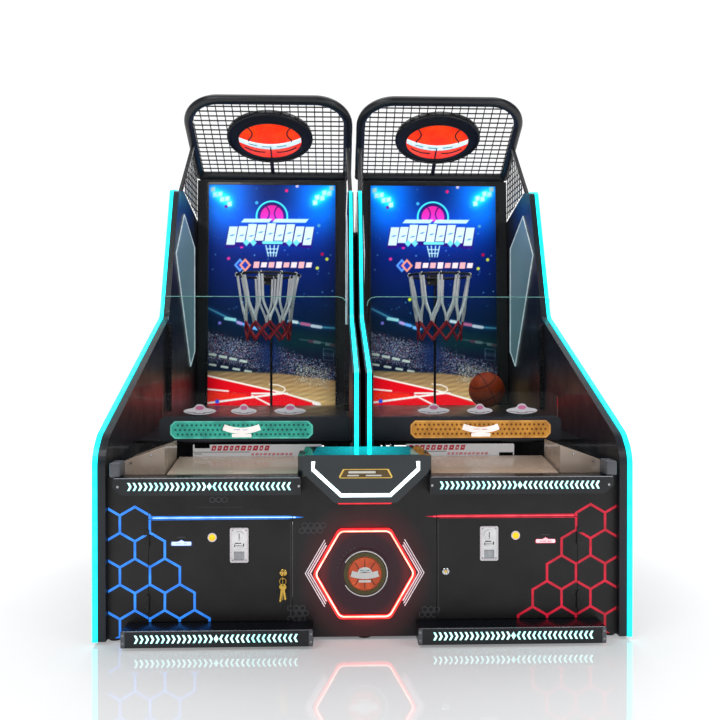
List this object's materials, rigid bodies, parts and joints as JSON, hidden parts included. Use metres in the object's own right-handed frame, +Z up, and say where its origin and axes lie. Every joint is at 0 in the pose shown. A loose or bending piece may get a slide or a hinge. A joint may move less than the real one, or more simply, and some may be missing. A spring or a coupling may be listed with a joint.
{
  "type": "basketball hoop arcade machine",
  "caption": "Free-standing two-lane basketball arcade cabinet with lit edges, ball trays, sliding ball gates, hoops with nets in front of tall screens, and wire canopies.",
  "frame": {"origin": "middle of the footprint at floor level", "axes": "+X to the player's right, +Y to the back of the machine, +Z up"},
  "size_m": [2.1, 2.35, 2.617],
  "materials": {
    "frame_steel": "satin black powder coat",
    "foot_rubber": "matte",
    "cabinet_board": "satin black painted board",
    "front_steel": "satin black powder coat",
    "rear_steel": "fine texture powder coat",
    "door_steel": "satin black powder coat",
    "edge_light": "lit cyan diffuser",
    "mirror_blade": "tinted mirror",
    "hinge_steel": "dark zinc",
    "console_plastic": "gloss",
    "white_light": "lit white diffuser",
    "badge_metal": "printed metal plate",
    "neon_red": "lit red tube",
    "sign_print": "printed acrylic",
    "rail_steel": "semi-gloss black",
    "chevron_light": "lit pale cyan diffuser",
    "tray_board": "beige satin laminate",
    "riser_print": "white printed board",
    "ramp_board": "dark laminate",
    "motor_steel": "satin",
    "guide_alloy": "machined",
    "hoop_steel": "black powder coat",
    "net_cord": "braided cord",
    "screen_case": "matte black",
    "screen_glass": "lit display glass",
    "canopy_steel": "black powder coat",
    "mesh_wire": "black coated wire",
    "canopy_sign": "printed lit sign",
    "guard_acrylic": "clear acrylic, faint green edge",
    "post_alloy": "black anodised",
    "box_steel": "zinc plated sheet",
    "electronics_case": "grey",
    "inlet_plastic": "black",
    "screw_steel": "zinc plated",
    "ball_rubber": "pebbled rubber",
    "door_chrome": "polished",
    "coin_chrome": "cast and plated",
    "lock_brass": "polished",
    "start_plastic": "lit yellow cap",
    "return_plastic": "white",
    "flap_steel": "brushed",
    "gate_steel": "black anodised",
    "grille_teal": "lit teal perforated plate",
    "grille_amber": "lit amber perforated plate",
    "window_acrylic": "clear acrylic",
    "pinion_steel": "machined"
  },
  "bodies": {
    "cabinet": {"base_frame": "frame_steel", "levelling_feet": "foot_rubber", "side_panel_left": "cabinet_board", "side_panel_right": "cabinet_board", "divider_panels": "cabinet_board", "front_panel": "front_steel", "back_cover": "rear_steel", "edge_lights": "edge_light", "blade_mirrors": "mirror_blade", "door_hinges": "hinge_steel", "console_housing": "console_plastic", "console_light": "white_light", "name_plate": "badge_metal", "hexagon_light": "neon_red", "hexagon_sign": "sign_print", "guide_rails": "rail_steel", "chevron_lights": "chevron_light", "tray_floors": "tray_board", "riser_boards": "riser_print", "ramps": "ramp_board", "gate_motors": "motor_steel", "gate_guides": "guide_alloy", "hoop_poles": "hoop_steel", "hoop_rims": "hoop_steel", "hoop_nets": "net_cord", "screen_housings": "screen_case", "screen_panels": "screen_glass", "canopy_frames": "canopy_steel", "canopy_meshes": "mesh_wire", "canopy_signs": "canopy_sign", "ball_guards": "guard_acrylic", "guard_posts": "post_alloy", "cash_boxes": "box_steel", "control_box": "electronics_case", "power_supply": "electronics_case", "power_inlet": "inlet_plastic", "fasteners": "screw_steel"},
    "basketball": {"basketball": "ball_rubber"},
    "door_left": {"service_door_left": "door_steel", "door_fittings_left": "door_chrome", "coin_acceptor_left": "coin_chrome"},
    "lock_left": {"lock_plug_left": "lock_brass"},
    "start_left": {"start_button_left": "start_plastic"},
    "coin_button_left": {"coin_return_button_left": "return_plastic"},
    "coin_flap_left": {"coin_return_flap_left": "flap_steel"},
    "gate_left": {"gate_beam_left": "gate_steel", "gate_grille_left": "grille_teal", "gate_window_left": "window_acrylic"},
    "pinion_left": {"gate_pinion_left": "pinion_steel"},
    "door_right": {"service_door_right": "door_steel", "door_fittings_right": "door_chrome", "coin_acceptor_right": "coin_chrome"},
    "lock_right": {"lock_plug_right": "lock_brass"},
    "start_right": {"start_button_right": "start_plastic"},
    "coin_button_right": {"coin_return_button_right": "return_plastic"},
    "coin_flap_right": {"coin_return_flap_right": "flap_steel"},
    "gate_right": {"gate_beam_right": "gate_steel", "gate_grille_right": "grille_amber", "gate_window_right": "window_acrylic"},
    "pinion_right": {"gate_pinion_right": "pinion_steel"}
  },
  "joints": [
    {"name": "ball_lift", "type": "slide", "parent": "cabinet", "child": "basketball", "axis": [0, 0, 1], "range_m": [0, 0.5]},
    {"name": "door_left_hinge", "type": "hinge", "parent": "cabinet", "child": "door_left", "pos_m": [-0.843, -1.074, 0.278], "axis": [0, 0, -1], "range_deg": [0, 110]},
    {"name": "lock_left_turn", "type": "hinge", "parent": "door_left", "child": "lock_left", "pos_m": [-0.319, -1.07, 0.266], "axis": [0, -1, 0], "range_deg": [0, 90]},
    {"name": "start_left_press", "type": "slide", "parent": "door_left", "child": "start_left", "axis": [0, 1, 0], "range_m": [0, 0.004], "stiffness_N_per_m": 400},
    {"name": "coin_button_left_press", "type": "slide", "parent": "door_left", "child": "coin_button_left", "axis": [0, 1, 0], "range_m": [0, 0.005], "stiffness_N_per_m": 300},
    {"name": "coin_flap_left_swing", "type": "hinge", "parent": "door_left", "child": "coin_flap_left", "pos_m": [-0.49, -1.071, 0.348], "axis": [1, 0, 0], "range_deg": [0, 55]},
    {"name": "gate_left_slide", "type": "slide", "parent": "cabinet", "child": "gate_left", "axis": [0, 0, 1], "range_m": [-0.215, 0]},
    {"name": "pinion_left_turn", "type": "hinge", "parent": "cabinet", "child": "pinion_left", "pos_m": [-0.138, -0.628, 0.5], "axis": [1, 0, 0], "range_deg": [-1, 618]},
    {"name": "door_right_hinge", "type": "hinge", "parent": "cabinet", "child": "door_right", "pos_m": [0.843, -1.074, 0.278], "axis": [0, 0, 1], "range_deg": [0, 110]},
    {"name": "lock_right_turn", "type": "hinge", "parent": "door_right", "child": "lock_right", "pos_m": [0.319, -1.07, 0.266], "axis": [0, 1, 0], "range_deg": [0, 90]},
    {"name": "start_right_press", "type": "slide", "parent": "door_right", "child": "start_right", "axis": [0, 1, 0], "range_m": [0, 0.004], "stiffness_N_per_m": 400},
    {"name": "coin_button_right_press", "type": "slide", "parent": "door_right", "child": "coin_button_right", "axis": [0, 1, 0], "range_m": [0, 0.005], "stiffness_N_per_m": 300},
    {"name": "coin_flap_right_swing", "type": "hinge", "parent": "door_right", "child": "coin_flap_right", "pos_m": [0.49, -1.071, 0.348], "axis": [1, 0, 0], "range_deg": [0, 55]},
    {"name": "gate_right_slide", "type": "slide", "parent": "cabinet", "child": "gate_right", "axis": [0, 0, 1], "range_m": [-0.215, 0]},
    {"name": "pinion_right_turn", "type": "hinge", "parent": "cabinet", "child": "pinion_right", "pos_m": [0.138, -0.628, 0.5], "axis": [1, 0, 0], "range_deg": [-1, 618]}
  ],
  "couplings": [
    {"joint": "pinion_left_turn", "follows": "gate_left_slide", "rad_per_m": -50},
    {"joint": "pinion_right_turn", "follows": "gate_right_slide", "rad_per_m": -50}
  ]
}
